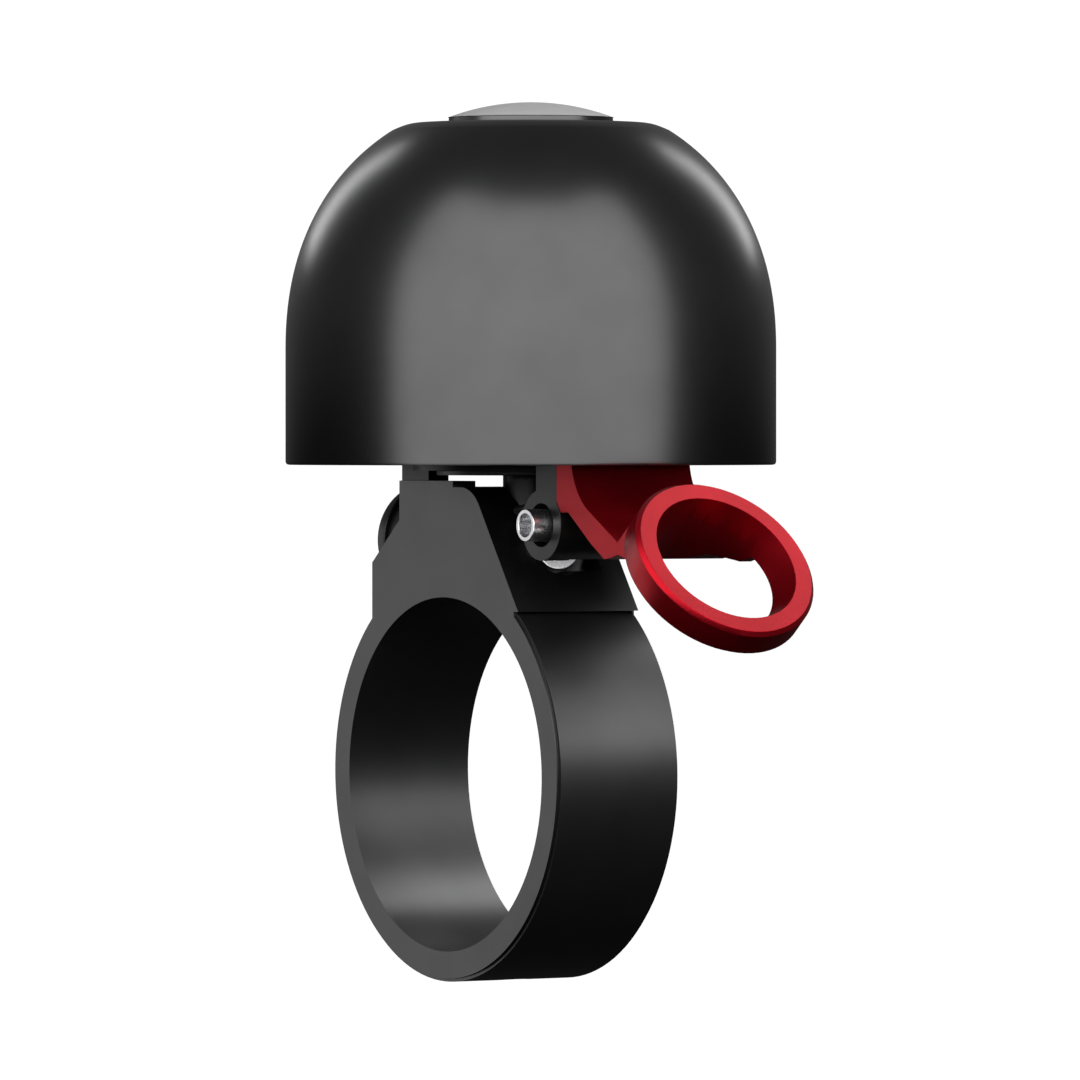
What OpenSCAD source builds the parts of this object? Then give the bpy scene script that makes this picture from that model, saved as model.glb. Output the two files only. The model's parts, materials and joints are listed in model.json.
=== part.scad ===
// Mini bicycle bell for a flat handlebar.
// Millimetres, +Z up. Origin: centre of the bar bore. +X runs along the bar, -Y is the rider's lever side.

/* [Bar clamp] */
// Handlebar diameter where the bell sits
bar_d = 22.2; // [21:0.1:23]
// Wall of the closed clamp ring
band_wall = 1.9; // [1.6:0.1:2.4]
// Width of the clamp along the bar
band_w = 9; // [8.6:0.1:9.4]

/* [Dome] */
// Outer diameter of the bell dome at its rim
dome_d = 30.74; // [30:0.02:32]
// Height of the dome from rim to flat crown
dome_h = 21.4; // [20.5:0.1:23]
// Wall of the dome
dome_wall = 1.2; // [0.9:0.1:1.3]

/* [Lever] */
// Outer diameter of the finger ring
ring_d = 12.06; // [11:0.02:12.6]
// Diameter of the finger ring's opening
ring_hole_d = 9.4; // [8.8:0.1:9.6]
// How much narrower the opening is underneath
ring_taper = 1.2; // [0.4:0.1:1.4]
// Thickness of the finger ring
ring_t = 2.06; // [1.6:0.02:2.4]

/* [Hidden] */
$fn = 96;
slip = 0.02;

bore_r = bar_d / 2;
band_r = bore_r + band_wall;
half_w = band_w / 2;

// Block on top of the ring
block_top = band_r + 5;
front_y = -8.45;
riser_z = 10.3;
undercut = 0.5;
face_tilt = 34;
corner_r = 2.5;
rear_y = 8.4;
rear_top_y = 5.2;
lip_w = 1.7;
lip_h = 0.4;
bolt_z = 14.6;
bolt_r = 1.25;
boss_r = 3.3;
nut_y = -5.3;
nut_r = 1.75;
nut_t = 1;
pocket_r = 2.05;

// Stack on the bell's own axis
axis_y = -3.06;
post_r = 1.75;
collar_z = block_top + 0.75;
disc_z = collar_z + 0.3;
disc_t = 1;
disc_r = 7.4;
foot_x = 4.3;
foot_y = 2.1;
foot_w = 1.5;
rim_z = disc_z + 0.35;
crown_z = rim_z + dome_h;
dome_r = dome_d / 2;
skirt_h = 7.2;
shoulder_h = dome_h + 1.8 - skirt_h;
shoulder_power = 2.2;
crown_in_z = crown_z - dome_wall;
washer_t = 0.8;
post_top = crown_in_z - washer_t;
cap_r = 5.2;
cap_band_t = 0.35;
cap_rise = 0.95;
cap_shank_r = 1;

// Pivot of the lever
pin_y = -10.9;
pin_z = 15.7;
pin_r = 1;
hub_r = 2.2;
shell_r = 1.86;
head_r = 1.3;
cheek_in = 2.65;
cheek_out = 4.4;
lug_lo = -0.2;
lug_hi = 2.45;
web_y = -12.6;
web_t = 1;
web_z = pin_z + 2.05;
web_top = 22.3;
arm_half = 1.6;
hammer_z = 28.2;
hammer_r = 2.2;

// Lever plate, strap and ring
plate_t = 1.65;
plate_top = 22;
strap_r = 4;
strap_z = 20.04;
rivet_x = 1.5;
rivet_z = 20.95;
ring_y = -24.7;
ring_z = 13.8;
ring_tilt = 50;
ring_r = ring_d / 2;
ring_hole_r = ring_hole_d / 2;
ring_low_r = ring_hole_r - ring_taper / 2;

// Torsion spring
wire_r = 0.3;
coil_r = 1.48;
coil_turns = 2;
coil_pitch = 0.75;
coil_x = -2.15;

black = [0.07, 0.07, 0.075];
steel = [0.72, 0.73, 0.75];
red = [0.72, 0.03, 0.06];
brass = [0.72, 0.56, 0.28];

// Points of a circular arc in a plane
function arc(cy, cz, r, a0, a1, n) =
    [for (i = [0 : n]) let (a = a0 + (a1 - a0) * i / n) [cy + r * cos(a), cz + r * sin(a)]];

// Radius of the dome's shoulder curve at height z
function shoulder(z, r, h) =
    r * pow(1 - pow(max(0, z - rim_z - skirt_h) / h, shoulder_power), 1 / shoulder_power);

// Outer curve of the dome, from the rim to a crown cut flat
function dome_curve(r, h, top, edge, n) = concat(
    [for (i = [0 : n]) let (z = rim_z + skirt_h + (top - edge - rim_z - skirt_h) * sin(90 * i / n))
        [shoulder(z, r, h), z]],
    [[shoulder(top - edge, r, h) - 0.75, top - edge * 0.3],
     [shoulder(top - edge, r, h) - 1.6, top]]);

// A profile in Y and Z, made thick along X
module slab(lo, hi) {
    translate([lo, 0, 0])
        rotate([90, 0, 90])
            linear_extrude(hi - lo)
                children();
}

// A rod along X through a point in Y and Z
module rod_x(y, z, r, lo, hi) {
    translate([lo, y, z])
        rotate([0, 90, 0])
            cylinder(r = r, h = hi - lo);
}

// A rod along Y through a point in X and Z
module rod_y(x, z, r, lo, hi) {
    translate([x, hi, z])
        rotate([90, 0, 0])
            cylinder(r = r, h = hi - lo);
}

module block_profile() {
    arc_z = block_top - corner_r;
    arc_y = front_y + (corner_r + (arc_z - riser_z) * sin(face_tilt)) / cos(face_tilt);
    polygon(concat(
        [[front_y + undercut, 8], [front_y + undercut, riser_z], [front_y, riser_z]],
        arc(arc_y, arc_z, corner_r, 180 - face_tilt, 90, 10),
        [[rear_top_y, block_top], [rear_top_y, 15.9], [rear_y, 13.2], [rear_y, 8]]));
}

// Ring and block in one piece, with the bolt hole, the post socket and the nut's pocket
module clamp_band() {
    color(black)
    difference() {
        union() {
            rod_x(0, 0, band_r - 0.2, -half_w, half_w);
            rod_x(0, 0, band_r, -half_w + 0.2, half_w - 0.2);
            slab(-half_w, half_w) block_profile();
            rod_y(0, bolt_z, boss_r, rear_top_y - 1, rear_y);
            translate([-half_w, -1, block_top - 1])
                cube([lip_w, rear_top_y + 1, 1 + lip_h]);
        }
        rod_x(0, 0, bore_r, -half_w - 1, half_w + 1);
        rod_y(0, bolt_z, bolt_r + slip, -12, 12);
        rod_y(0, bolt_z, pocket_r, -12, nut_y);
        translate([0, -12, bolt_z - pocket_r + 0.2])
            cube([2.9, 12 + nut_y, pocket_r - 0.2]);
        translate([0, axis_y, bolt_z - 1.8])
            cylinder(r = post_r + slip, h = 10);
        translate([0, 0, -band_r - 1])
            cylinder(r = 1.5 + slip, h = band_r);
    }
}

// Short set screw that locks the closed ring on the bar
module bar_grub_screw() {
    color(steel)
    difference() {
        translate([0, 0, -band_r + 0.1])
            cylinder(r = 1.5, h = band_wall - 0.15);
        translate([0, 0, -band_r])
            cylinder(r = 0.85, h = 1, $fn = 6);
    }
}

// Rounded head at the back, shank through the block and the post
module cross_bolt() {
    head_r = 3.6;
    head_h = 1.4;
    color(steel)
    difference() {
        union() {
            rod_y(0, bolt_z, bolt_r, nut_y - nut_t + 0.35, rear_y + 0.2);
            translate([0, rear_y, bolt_z])
                rotate([-90, 0, 0])
                    rotate_extrude()
                        polygon(concat([[0, 0]], [[head_r, 0]],
                            arc(head_r - 0.9, head_h - 0.9, 0.9, 0, 90, 8), [[0, head_h]]));
        }
        translate([0, rear_y + 0.5, bolt_z])
            rotate([-90, 0, 0])
                cylinder(r = 1.45, h = 2, $fn = 6);
    }
}

// Round nut in the front pocket, closed at the front
module sleeve_nut() {
    color(steel)
    difference() {
        rod_y(0, bolt_z, nut_r, nut_y - nut_t, nut_y);
        rod_y(0, bolt_z, bolt_r + slip, nut_y - nut_t + 0.3, 0);
    }
}

// Pillar that carries the dome, pinned in the block by the bolt
module post() {
    color(steel)
    difference() {
        translate([0, axis_y, bolt_z - 1.7])
            cylinder(r = post_r, h = post_top - bolt_z + 1.7);
        rod_y(0, bolt_z, bolt_r + slip, -8, 2);
        translate([0, axis_y, post_top - 6])
            cylinder(r = cap_shank_r + slip, h = 7);
    }
}

module base_collar() {
    color(steel)
    difference() {
        translate([0, axis_y, collar_z])
            cylinder(r = 5.9, h = disc_z - collar_z);
        translate([0, axis_y, collar_z - 1])
            cylinder(r = post_r + slip, h = 3);
    }
}

// Disc under the dome, with a foot on the block and the lug that holds the pivot
module pivot_bracket() {
    color(black)
    difference() {
        union() {
            translate([0, axis_y, disc_z])
                cylinder(r = disc_r, h = disc_t);
            translate([-foot_x, foot_y, block_top + lip_h])
                cube([foot_w, rear_top_y - foot_y, disc_z + disc_t - block_top - lip_h]);
            translate([-foot_x, 0, disc_z])
                cube([foot_w, rear_top_y, disc_t]);
            slab(lug_lo, lug_hi) {
                polygon([[-9.15, disc_z + 0.5], [-10.6, disc_z + 0.5], [-11.4, 17.1],
                         [pin_y - 1, pin_z + 1.2], [pin_y + 1.4, pin_z - 1], [-9.3, 17]]);
                translate([pin_y, pin_z]) circle(r = 1.7);
            }
        }
        translate([0, axis_y, disc_z - 1])
            cylinder(r = post_r + slip, h = 4);
        rod_x(pin_y, pin_z, 1.4 + slip, -3, 3);
    }
}

module base_nut() {
    color(steel)
    difference() {
        translate([0, axis_y, disc_z + disc_t])
            cylinder(r = 3.1, h = 1.6, $fn = 6);
        translate([0, axis_y, disc_z])
            cylinder(r = post_r + slip, h = 4);
    }
}

module pivot_bush() {
    color(brass)
    difference() {
        rod_x(pin_y, pin_z, 1.4, lug_lo, lug_hi);
        rod_x(pin_y, pin_z, pin_r + slip, -3, 3);
    }
}

// Half-hollow rivet: its open end stands out on one side, its flat head is sunk in the other cheek
module pivot_pin() {
    end = -5.6;
    color(steel)
    difference() {
        union() {
            rod_x(pin_y, pin_z, pin_r, end, cheek_out - 0.1);
            rod_x(pin_y, pin_z, head_r, cheek_out - 0.6, cheek_out - 0.05);
        }
        rod_x(pin_y, pin_z, pin_r - 0.28, end - 1, end + 1.2);
    }
}

// Path of the spring's wire: tail on the block, turns round the pin, leg under the lever's web
function spring_path() = concat(
    [[coil_x, -4.8, 16.55], [coil_x, -6.8, 16.8], [coil_x, -8.8, 17.05]],
    [for (i = [0 : 20 * coil_turns]) let (a = 90 + 18 * i)
        [coil_x + coil_pitch * i / 20, pin_y + coil_r * cos(a), pin_z + coil_r * sin(a)]],
    [[coil_x + coil_pitch * coil_turns, -12.5, pin_z + coil_r]]);

function unit(v) = v / norm(v);

// Ring of points round the wire at point i of the path
function wire_ring(path, i, sides) =
    let (along = unit(path[min(i + 1, len(path) - 1)] - path[max(i - 1, 0)]),
         side = unit(cross(along, [1, 0, 0])),
         up = cross(side, along))
    [for (k = [0 : sides - 1]) let (a = -360 * k / sides)
        path[i] + wire_r * (cos(a) * side + sin(a) * up)];

module torsion_spring() {
    sides = 10;
    path = spring_path();
    n = len(path);
    points = [for (i = [0 : n - 1]) each wire_ring(path, i, sides)];
    walls = [for (i = [0 : n - 2]) for (k = [0 : sides - 1])
        [i * sides + k, i * sides + (k + 1) % sides,
         (i + 1) * sides + (k + 1) % sides, (i + 1) * sides + k]];
    first = [[for (k = [0 : sides - 1]) sides - 1 - k]];
    last = [[for (k = [0 : sides - 1]) (n - 1) * sides + k]];
    color(steel)
        polyhedron(points = points, faces = concat(first, walls, last));
}

module crown_washer() {
    color(black)
    difference() {
        translate([0, axis_y, post_top])
            cylinder(r = 3.6, h = washer_t);
        translate([0, axis_y, post_top - 1])
            cylinder(r = cap_shank_r + slip, h = 4);
    }
}

module dome() {
    outer = dome_curve(dome_r, shoulder_h, crown_z, 0.45, 24);
    inner = dome_curve(dome_r - dome_wall, shoulder_h - dome_wall, crown_in_z, 0.45, 24);
    rim_bevel = 0.15;
    color(black)
    translate([0, axis_y, 0])
        rotate_extrude($fn = 180)
            polygon(concat(
                [[dome_r - dome_wall, rim_z], [dome_r - rim_bevel, rim_z], [dome_r, rim_z + rim_bevel]],
                outer,
                [[cap_shank_r + slip, crown_z], [cap_shank_r + slip, crown_in_z]],
                [for (i = [len(inner) - 1 : -1 : 0]) inner[i]]));
}

module cap_washer() {
    color(black)
    difference() {
        translate([0, axis_y, crown_z])
            cylinder(r = cap_r - 0.05, h = cap_band_t);
        translate([0, axis_y, crown_z - 1])
            cylinder(r = cap_shank_r + slip, h = 4);
    }
}

// Shallow domed head with its shank down into the post
module cap_screw() {
    sphere_r = (cap_r * cap_r + cap_rise * cap_rise) / (2 * cap_rise);
    half_angle = asin(cap_r / sphere_r);
    base_z = crown_z + cap_band_t;
    color(steel)
    translate([0, axis_y, 0])
        rotate_extrude()
            polygon(concat(
                [[0, post_top - 5], [cap_shank_r, post_top - 5], [cap_shank_r, base_z], [cap_r - 0.05, base_z]],
                arc(0, base_z + cap_rise - sphere_r, sphere_r, 90 - half_angle, 90, 12)));
}

// Thin shell from cheek to cheek that covers the spring in front and below
module barrel_shell() {
    intersection() {
        difference() {
            rod_x(pin_y, pin_z, hub_r - 0.06, -cheek_in - 0.2, cheek_in + 0.2);
            rod_x(pin_y, pin_z, shell_r, -cheek_out, cheek_out);
        }
        translate([-cheek_out, pin_y - 3, pin_z - 3])
            cube([2 * cheek_out, 4.2, 3.7]);
    }
}

// Two cheeks on the pin, the web and shell between them and the narrow arm up to the hammer
module hammer_yoke() {
    color(black)
    difference() {
        union() {
            for (side = [-1, 1])
                slab(min(side * cheek_in, side * cheek_out), max(side * cheek_in, side * cheek_out)) {
                    translate([pin_y, pin_z]) circle(r = hub_r);
                    polygon([[web_y, pin_z + 1.3], [-10.3, pin_z], [-10.3, web_top - 1], [-11.3, web_top],
                             [web_y, web_top]]);
                }
            translate([-cheek_out, web_y, web_z])
                cube([2 * cheek_out, web_t, web_top - web_z]);
            barrel_shell();
            translate([-arm_half, web_y, web_top - 1])
                cube([2 * arm_half, web_t, hammer_z - web_top + 1]);
            rod_y(0, hammer_z, 2.0, web_y, web_y + web_t);
        }
        rod_x(pin_y, pin_z, pin_r + 0.05, -6, 6);
        rod_x(pin_y, pin_z, 1.35, -cheek_out - 1, -cheek_out + 0.9);
        rod_x(pin_y, pin_z, head_r + 0.05, cheek_out - 0.65, cheek_out + 1);
        rod_y(0, hammer_z, 1 + slip, -14, -10);
        for (x = [-rivet_x, rivet_x])
            rod_y(x, rivet_z, 0.7 + slip, -14, -10);
    }
}

// Everything in the ring's own frame: Z is the ring's axis, 0 is its upper face
module on_ring() {
    translate([0, ring_y, ring_z])
        rotate([ring_tilt, 0, 0])
            children();
}

module strap_profile() {
    polygon(concat(
        [[web_y, plate_top], [web_y, 17.2], [-13.05, 16.5], [-13.9, 16.5], [-16.4, 14.6], [-17.9, 13.65],
         [-18.6, 13.75], [-19.2, 14.2], [-19.3, 14.75]],
        arc(web_y - plate_t - strap_r, strap_z, strap_r, -58, 0, 10),
        [[web_y - plate_t, plate_top]]));
}

// Plate, curved strap and finger ring in one red piece
module finger_lever() {
    edge = 0.25;
    color(red)
    difference() {
        union() {
            slab(-cheek_out, cheek_out) strap_profile();
            on_ring()
                rotate_extrude()
                    polygon([[ring_low_r - 1, -ring_t], [ring_r - edge, -ring_t], [ring_r, -ring_t + edge],
                             [ring_r, -edge], [ring_r - edge, 0], [ring_low_r - 1, 0]]);
            intersection() {
                on_ring()
                    translate([0, 0, -ring_t - 3])
                        cylinder(r = ring_r, h = 3.5);
                slab(-cheek_out, cheek_out)
                    polygon([[-17.2, 14.1], [-17.9, 13.65], [-18.6, 13.75], [-19.4, 13.95], [-21, 13.5], [-22.6, 13.9],
                             [-20, 18], [-17.5, 17]]);
            }
        }
        on_ring() {
            translate([0, 0, -8])
                cylinder(r = ring_low_r, h = 9);
            translate([0, 0, -ring_t])
                cylinder(r1 = ring_low_r, r2 = ring_hole_r, h = ring_t);
            cylinder(r = ring_hole_r, h = 8);
        }
        for (x = [-rivet_x, rivet_x])
            rod_y(x, rivet_z, 0.7 + slip, -16, -10);
    }
}

// Two equal rivets that hold the lever on the web
module lever_rivets() {
    color(steel)
    for (x = [-rivet_x, rivet_x]) {
        rod_y(x, rivet_z, 0.7, web_y - plate_t - 0.1, web_y + web_t + 0.1);
        translate([x, web_y - plate_t, rivet_z])
            rotate([90, 0, 0])
                rotate_extrude()
                    polygon(concat([[0, 0]], arc(0.45, 0, 0.4, 0, 90, 6), [[0, 0.4]]));
        rod_y(x, rivet_z, 0.95, web_y + web_t, web_y + web_t + 0.4);
    }
}

// Striker with a rounded nose, its stem through the arm
module hammer_head() {
    nose = 1.6;
    color(brass)
    translate([0, web_y, hammer_z])
        rotate([90, 0, 0])
            rotate_extrude()
                polygon(concat(
                    [[0, -web_t - 0.9], [1, -web_t - 0.9], [1, 0], [hammer_r, 0]],
                    arc(hammer_r - 0.9, nose - 0.9, 0.9, 0, 80, 8), [[0, nose]]));
}

module hammer_washer() {
    color(steel)
    difference() {
        rod_y(0, hammer_z, 1.9, web_y + web_t, web_y + web_t + 0.6);
        rod_y(0, hammer_z, 1 + slip, -14, -8);
    }
}

clamp_band();
bar_grub_screw();
cross_bolt();
sleeve_nut();
post();
base_collar();
pivot_bracket();
base_nut();
pivot_bush();
pivot_pin();
torsion_spring();
crown_washer();
dome();
cap_washer();
cap_screw();
hammer_yoke();
finger_lever();
lever_rivets();
hammer_head();
hammer_washer();
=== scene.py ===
"""Looks of the mini bicycle bell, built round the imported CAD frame."""
import json
import math

import bmesh
import bpy
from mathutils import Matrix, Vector


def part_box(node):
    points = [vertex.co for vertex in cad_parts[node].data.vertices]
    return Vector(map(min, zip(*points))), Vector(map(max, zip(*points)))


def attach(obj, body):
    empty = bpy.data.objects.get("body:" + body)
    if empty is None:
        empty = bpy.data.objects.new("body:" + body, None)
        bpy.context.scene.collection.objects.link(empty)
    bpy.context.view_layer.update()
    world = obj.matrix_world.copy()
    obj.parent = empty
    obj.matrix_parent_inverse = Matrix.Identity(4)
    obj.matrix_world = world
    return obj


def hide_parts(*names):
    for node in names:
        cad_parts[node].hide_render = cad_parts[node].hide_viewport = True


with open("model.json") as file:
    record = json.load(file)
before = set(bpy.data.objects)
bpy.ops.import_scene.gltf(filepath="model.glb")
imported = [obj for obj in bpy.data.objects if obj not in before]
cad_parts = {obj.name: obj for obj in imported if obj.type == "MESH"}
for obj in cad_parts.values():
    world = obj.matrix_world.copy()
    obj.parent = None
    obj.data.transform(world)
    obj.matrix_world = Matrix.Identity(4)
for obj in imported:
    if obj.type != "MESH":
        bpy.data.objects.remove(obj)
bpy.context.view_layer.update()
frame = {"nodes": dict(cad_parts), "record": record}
MM = 0.001

# The dome: its wall, its upright skirt, and how its shoulder runs onto the flat crown
DOME_WALL = 1.2 * MM
DOME_SKIRT = 7.2 * MM
DOME_OVERSHOOT = 1.8 * MM
DOME_SQUARENESS = 2.2
CROWN_HOLE = 1.02 * MM
CROWN_EDGE = 0.45 * MM
CROWN_LIP = 1.6 * MM
RIM_ROUND = 0.12 * MM
LATHE_STEPS = 256

# Surfaces: the relief of the grain, and the scale of the slow drift in tone
GRAIN_DEPTH = 0.00002
TONE_SCALE = 260

# Faces that meet at more than this angle, in degrees, keep a visible edge
EDGE_ANGLE = 32

# Camera: a long lens, about a tenth of a turn round from the lever's side, almost level
VIEW_AZIMUTH = -33.4
VIEW_ELEVATION = 0.6
VIEW_CENTRE = Vector((0.0, -4.1, 14.7)) * MM
VIEW_DISTANCE = 625 * MM
VIEW_LENS = 333

# Studio: the upright axis that the panels face, the floor, and the dim light of the surroundings
BELL_AXIS = Vector((0.0, -3.06, 0.0)) * MM
FLOOR_SIZE = 6
FLOOR_HEIGHT = -0.06
FLOOR_GLOW = 0.92
WORLD_SEEN = 1.05
WORLD_ABOVE = 0.15
WORLD_BELOW = 0.02


def direction(azimuth, elevation):
    """Unit vector from the object towards a place seen at this azimuth and elevation."""
    a = math.radians(azimuth)
    e = math.radians(elevation)
    return Vector((math.sin(a) * math.cos(e), -math.cos(a) * math.cos(e), math.sin(e)))


# ---------------------------------------------------------------- materials

def new_material(name):
    material = bpy.data.materials.new(name)
    material.use_nodes = True
    nodes = material.node_tree.nodes
    return material, nodes, material.node_tree.links, nodes["Principled BSDF"]


def noise(nodes, links, scale, detail, stretch=(1, 1, 1)):
    """Noise in the object's own metres, so its grain has a real size."""
    where = nodes.new("ShaderNodeTexCoord")
    mapping = nodes.new("ShaderNodeMapping")
    mapping.inputs["Scale"].default_value = stretch
    texture = nodes.new("ShaderNodeTexNoise")
    texture.inputs["Scale"].default_value = scale
    texture.inputs["Detail"].default_value = detail
    links.new(where.outputs["Object"], mapping.inputs["Vector"])
    links.new(mapping.outputs["Vector"], texture.inputs["Vector"])
    return texture.outputs["Fac"]


def between(nodes, links, value, low, high):
    """Map a 0.3 to 0.7 noise onto a range."""
    ramp = nodes.new("ShaderNodeMapRange")
    ramp.inputs["From Min"].default_value = 0.3
    ramp.inputs["From Max"].default_value = 0.7
    ramp.inputs["To Min"].default_value = low
    ramp.inputs["To Max"].default_value = high
    links.new(value, ramp.inputs["Value"])
    return ramp.outputs["Result"]


def tint(nodes, links, value, dark, light):
    """Blend from a dark tone to a light one."""
    mix = nodes.new("ShaderNodeMix")
    mix.data_type = "RGBA"
    mix.inputs["A"].default_value = (*dark, 1)
    mix.inputs["B"].default_value = (*light, 1)
    links.new(value, mix.inputs["Factor"])
    return mix.outputs["Result"]


def grain(nodes, links, shader, height, strength):
    """A very shallow relief of the surface."""
    bump = nodes.new("ShaderNodeBump")
    bump.inputs["Strength"].default_value = strength
    bump.inputs["Distance"].default_value = GRAIN_DEPTH
    links.new(height, bump.inputs["Height"])
    links.new(bump.outputs["Normal"], shader.inputs["Normal"])


def coated(name, dark, light, metallic, rough, grain_scale, bump,
           stretch=(1, 1, 1), spread=0.04, specular=0.5):
    """Painted, plated or anodised metal: tone, gloss and grain all vary a little."""
    material, nodes, links, shader = new_material(name)
    fine = noise(nodes, links, grain_scale, 4.0, stretch)
    broad = noise(nodes, links, TONE_SCALE, 2.0)
    tone = between(nodes, links, broad, 0, 1)
    links.new(tint(nodes, links, tone, dark, light), shader.inputs["Base Color"])
    links.new(between(nodes, links, fine, rough - spread, rough + spread), shader.inputs["Roughness"])
    shader.inputs["Metallic"].default_value = metallic
    shader.inputs["Specular IOR Level"].default_value = specular
    grain(nodes, links, shader, fine, bump)
    return material


# One material for each slot that the record names
SLOTS = {
    "black_dome": coated(
        "black_dome", dark=(0.072, 0.072, 0.073), light=(0.080, 0.080, 0.081),
        metallic=1.0, rough=0.29, grain_scale=6000, bump=0.012, spread=0.012,
    ),
    "black_clamp": coated(
        "black_clamp", dark=(0.062, 0.062, 0.063), light=(0.070, 0.070, 0.071),
        metallic=0.93, rough=0.36, grain_scale=12000, bump=0.10,
    ),
    "black_steel": coated(
        "black_steel", dark=(0.030, 0.030, 0.031), light=(0.040, 0.040, 0.041),
        metallic=0.9, rough=0.38, grain_scale=12000, bump=0.14,
    ),
    "fibre": coated(
        "fibre", dark=(0.10, 0.085, 0.07), light=(0.15, 0.13, 0.11),
        metallic=0.0, rough=0.8, grain_scale=8000, bump=0.3,
    ),
    "red_lever": coated(
        "red_lever", dark=(0.24, 0.0015, 0.006), light=(0.29, 0.002, 0.008),
        metallic=0.85, rough=0.33, grain_scale=15000, bump=0.10, specular=0.3,
    ),
    "brass": coated(
        "brass", dark=(0.60, 0.44, 0.20), light=(0.70, 0.54, 0.27),
        metallic=1.0, rough=0.30, grain_scale=6000, bump=0.10, stretch=(1, 1, 6),
    ),
    # Painted reflection: the cap is black like the dome, and this light grey base colour paints in the
    # bright grazing reflection on its top.
    "cap_metal": coated(
        "cap_metal", dark=(0.42, 0.42, 0.425), light=(0.46, 0.46, 0.465),
        metallic=0.5, rough=0.40, grain_scale=12000, bump=0.06,
    ),
    "spring_steel": coated(
        "spring_steel", dark=(0.26, 0.26, 0.27), light=(0.38, 0.38, 0.39),
        metallic=1.0, rough=0.34, grain_scale=9000, bump=0.08,
    ),
    "bright_steel": coated(
        "bright_steel", dark=(0.55, 0.55, 0.56), light=(0.66, 0.66, 0.67),
        metallic=1.0, rough=0.28, grain_scale=7000, bump=0.08, stretch=(1, 5, 1),
    ),
}

# ---------------------------------------------------------------- pieces


def finish_piece(piece, node, slot, body):
    """Give a piece its material, and let it take its CAD node's place on a body."""
    piece.data.materials.clear()
    piece.data.materials.append(SLOTS[slot])
    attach(piece, body)
    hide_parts(node)


def soften_edges(piece, width):
    """Real edges are never knife sharp: break them, then keep the flats flat."""
    bevel = piece.modifiers.new("edges", "BEVEL")
    bevel.width = width
    bevel.segments = 2
    bevel.limit_method = "ANGLE"
    bevel.angle_limit = math.radians(EDGE_ANGLE)
    bevel.harden_normals = True
    bevel.use_clamp_overlap = True


def smooth_shade(mesh, angle):
    """Smooth the curves, and keep an edge where faces meet at more than the angle."""
    for polygon in mesh.polygons:
        polygon.use_smooth = True
    mesh.set_sharp_from_angle(angle=math.radians(angle))


def detailed_copy(node, slot, body, width):
    """The CAD piece with joined faces, broken edges and smooth curves."""
    mesh = frame["nodes"][node].data.copy()
    piece = bpy.data.objects.new(node + "_look", mesh)
    bpy.context.scene.collection.objects.link(piece)
    work = bmesh.new()
    work.from_mesh(mesh)
    bmesh.ops.remove_doubles(work, verts=work.verts, dist=0.000002)
    bmesh.ops.dissolve_limit(work, angle_limit=math.radians(0.8), verts=work.verts, edges=work.edges)
    work.to_mesh(mesh)
    work.free()
    smooth_shade(mesh, EDGE_ANGLE)
    if width:
        soften_edges(piece, width)
    finish_piece(piece, node, slot, body)
    return piece


def lathe(name, profile, centre, steps):
    """Turn a closed outline of (radius, height) points round a vertical axis."""
    work = bmesh.new()
    rings = []
    for step in range(steps):
        turn = 2 * math.pi * step / steps
        rings.append([
            work.verts.new((centre.x + r * math.cos(turn), centre.y + r * math.sin(turn), z))
            for r, z in profile
        ])
    count = len(profile)
    for step in range(steps):
        here = rings[step]
        there = rings[(step + 1) % steps]
        for k in range(count):
            after = (k + 1) % count
            work.faces.new((here[k], there[k], there[after], here[after]))
    mesh = bpy.data.meshes.new(name)
    work.normal_update()
    bmesh.ops.recalc_face_normals(work, faces=work.faces)
    work.to_mesh(mesh)
    work.free()
    piece = bpy.data.objects.new(name, mesh)
    bpy.context.scene.collection.objects.link(piece)
    return piece


def shoulder_radius(z, radius, height, start):
    """The dome's shoulder: a rounded square curve, upright at the skirt."""
    rise = max(0.0, z - start) / height
    return radius * (1 - rise ** DOME_SQUARENESS) ** (1 / DOME_SQUARENESS)


def dome_side(radius, height, start, top):
    """Points up one side of the dome, then round the edge onto the flat crown."""
    steps = 40
    edge_steps = 6
    points = []
    for i in range(steps + 1):
        z = start + (top - CROWN_EDGE - start) * math.sin(0.5 * math.pi * i / steps)
        points.append((shoulder_radius(z, radius, height, start), z))
    last_r, last_z = points[-1]
    for i in range(1, edge_steps + 1):
        t = i / edge_steps
        points.append((last_r - CROWN_LIP * t, last_z + CROWN_EDGE * math.sin(0.5 * math.pi * t)))
    return points


def make_dome():
    """The spun shell, turned as one closed outline: rim, outside, crown hole, inside."""
    low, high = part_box("dome")
    centre = (low + high) / 2
    radius = (high.x - low.x) / 2
    start = low.z + DOME_SKIRT
    height = high.z - low.z + DOME_OVERSHOOT - DOME_SKIRT
    outer = dome_side(radius, height, start, high.z)
    inner = dome_side(radius - DOME_WALL, height - DOME_WALL, start, high.z - DOME_WALL)
    rim = [
        (radius - DOME_WALL, low.z + RIM_ROUND),
        (radius - DOME_WALL + RIM_ROUND, low.z),
        (radius - 2 * RIM_ROUND, low.z),
        (radius - 0.6 * RIM_ROUND, low.z + 0.3 * RIM_ROUND),
        (radius, low.z + 1.6 * RIM_ROUND),
    ]
    crown_hole = [(CROWN_HOLE, high.z), (CROWN_HOLE, high.z - DOME_WALL)]
    outline = rim + outer + crown_hole + inner[::-1]
    piece = lathe("dome_look", outline, centre, LATHE_STEPS)
    smooth_shade(piece.data, 50)
    finish_piece(piece, "dome", "black_dome", "bell_base")
    return piece


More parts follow.
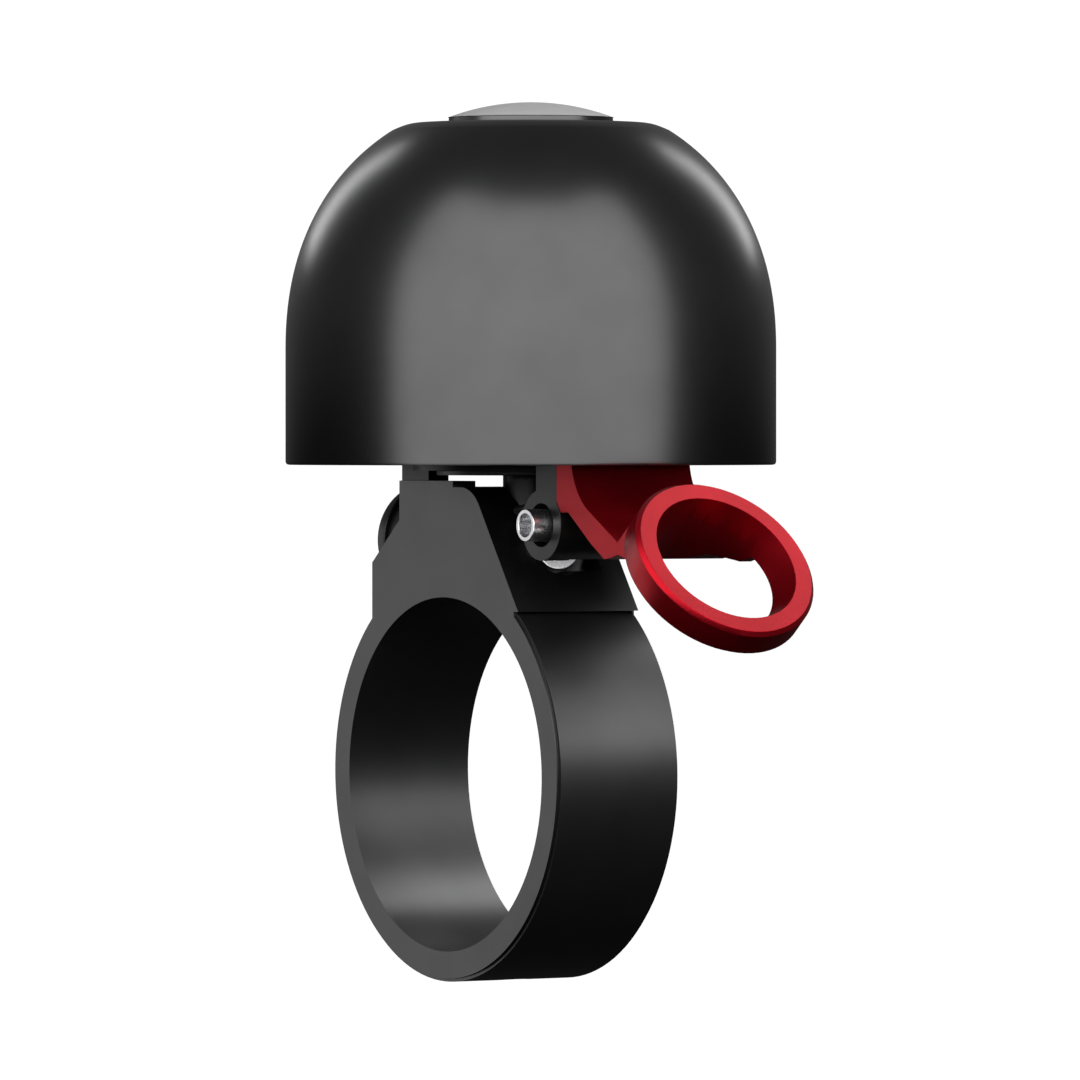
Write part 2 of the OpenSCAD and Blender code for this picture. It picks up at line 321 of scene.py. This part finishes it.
# How wide each piece's broken edges are, in mm; round pieces have none
BROKEN_EDGES = {
    "bar_grub_screw": 0.06,
    "base_collar": 0.05,
    "base_nut": 0.10,
    "cap_screw": 0.0,
    "cap_washer": 0.05,
    "clamp_band": 0.04,
    "cross_bolt": 0.10,
    "crown_washer": 0.08,
    "finger_lever": 0.14,
    "hammer_head": 0.0,
    "hammer_washer": 0.06,
    "hammer_yoke": 0.10,
    "lever_rivets": 0.04,
    "pivot_bracket": 0.08,
    "pivot_bush": 0.05,
    "pivot_pin": 0.05,
    "post": 0.05,
    "sleeve_nut": 0.10,
    "torsion_spring": 0.0,
}


def make_pieces():
    """Returns the dome and a list of everything else."""
    slots = {part["node"]: part["material_slot"] for part in frame["record"]["subparts"]}
    others = []
    for body, members in frame["record"]["behaviour"]["bodies"].items():
        for node in members:
            if node != "dome":
                others.append(detailed_copy(node, slots[node], body, BROKEN_EDGES[node] * MM))
    return make_dome(), others


# ---------------------------------------------------------------- studio

def light_group(name, members):
    """The pieces that one set of panels is flagged to light."""
    group = bpy.data.collections.new(name)
    for piece in members:
        group.objects.link(piece)
    return group


def panel(name, azimuth, distance, width, low, high, brightness, lit):
    """An upright soft panel that faces the bell's axis, between two heights."""
    data = bpy.data.lights.new(name, "AREA")
    data.shape = "RECTANGLE"
    data.size = width
    data.size_y = high - low
    data.energy = brightness * math.pi * width * (high - low)
    light = bpy.data.objects.new(name, data)
    bpy.context.scene.collection.objects.link(light)
    away = direction(azimuth, 0)
    light.location = BELL_AXIS + away * distance + Vector((0, 0, (low + high) / 2))
    light.rotation_euler = (-away).to_track_quat("-Z", "Y").to_euler()
    light.visible_camera = False
    light.light_linking.receiver_collection = lit


def curved_wall_panel(name, side, turn, distance, low, high, brightness, lit):
    """One of three panels that meet edge to edge, to stand for a curved white wall."""
    width = 2 * distance * math.tan(math.radians(turn / 2))
    panel(f"{name}_{side + 1}", VIEW_AZIMUTH + side * turn, distance, width, low, high, brightness, lit)


def make_floor():
    """A pale floor that the camera sees and that lights nothing."""
    bpy.ops.mesh.primitive_plane_add(size=FLOOR_SIZE, location=(0, 0, FLOOR_HEIGHT))
    floor = bpy.context.object
    floor.name = "floor"
    material, nodes, links, shader = new_material("floor_pale")
    tone = between(nodes, links, noise(nodes, links, 3, 2.0), 0, 1)
    pale = tint(nodes, links, tone, (0.97, 0.97, 0.97), (1.0, 1.0, 1.0))
    links.new(pale, shader.inputs["Base Color"])
    links.new(pale, shader.inputs["Emission Color"])
    shader.inputs["Emission Strength"].default_value = FLOOR_GLOW
    shader.inputs["Roughness"].default_value = 0.9
    floor.data.materials.append(material)
    floor.visible_diffuse = False
    floor.visible_glossy = False


def make_world():
    """White to the eye; as a light it is dim, and dimmer below."""
    world = bpy.data.worlds.new("studio")
    world.use_nodes = True
    nodes = world.node_tree.nodes
    links = world.node_tree.links
    background = nodes["Background"]
    background.inputs["Color"].default_value = (1, 1, 1, 1)
    where = nodes.new("ShaderNodeTexCoord")
    split = nodes.new("ShaderNodeSeparateXYZ")
    links.new(where.outputs["Generated"], split.inputs["Vector"])
    height = nodes.new("ShaderNodeMapRange")
    height.inputs["From Min"].default_value = -0.15
    height.inputs["From Max"].default_value = 0.10
    height.inputs["To Min"].default_value = WORLD_BELOW
    height.inputs["To Max"].default_value = WORLD_ABOVE
    links.new(split.outputs["Z"], height.inputs["Value"])
    seen = nodes.new("ShaderNodeLightPath")
    level = nodes.new("ShaderNodeMix")
    level.inputs["B"].default_value = WORLD_SEEN
    links.new(seen.outputs["Is Camera Ray"], level.inputs["Factor"])
    links.new(height.outputs["Result"], level.inputs["A"])
    links.new(level.outputs["Result"], background.inputs["Strength"])
    bpy.context.scene.world = world


def make_lights(dome, others):
    """A wall of panels for the dome, a higher one for the rest, and strips that trace the edges."""
    bright = [piece for piece in others if piece.name in ("sleeve_nut_look", "pivot_pin_look")]
    on_dome = light_group("lit_dome", [dome] + bright)
    on_rest = light_group("lit_rest", others)
    for side in (-1, 0, 1):
        curved_wall_panel("front_dome", side, 43, 0.14, -0.09, 0.26, 2.2, on_dome)
        curved_wall_panel("front_low", side, 50, 0.12, 0.022, 0.20, 3.3, on_rest)
    for side in (-1, 1):
        panel(f"edge_{side}", VIEW_AZIMUTH + side * 143, 0.20, 0.045, 0.07, 0.20, 3.2, on_dome)
    panel("left_low", VIEW_AZIMUTH - 113, 0.15, 0.12, -0.08, 0.05, 1.0, on_rest)
    panel("high_right", VIEW_AZIMUTH + 122, 0.12, 0.09, 0.09, 0.24, 5.0, on_rest)


def make_camera():
    """A long lens on the bell, from the front left."""
    data = bpy.data.cameras.new("camera")
    data.lens = VIEW_LENS
    data.sensor_width = 36
    data.clip_start = 0.01
    camera = bpy.data.objects.new("camera", data)
    bpy.context.scene.collection.objects.link(camera)
    camera.location = VIEW_CENTRE + direction(VIEW_AZIMUTH, VIEW_ELEVATION) * VIEW_DISTANCE
    camera.rotation_euler = (VIEW_CENTRE - camera.location).to_track_quat("-Z", "Y").to_euler()
    bpy.context.scene.camera = camera


dome, others = make_pieces()
make_floor()
make_world()
make_lights(dome, others)
make_camera()
bpy.context.scene.view_settings.view_transform = "Standard"
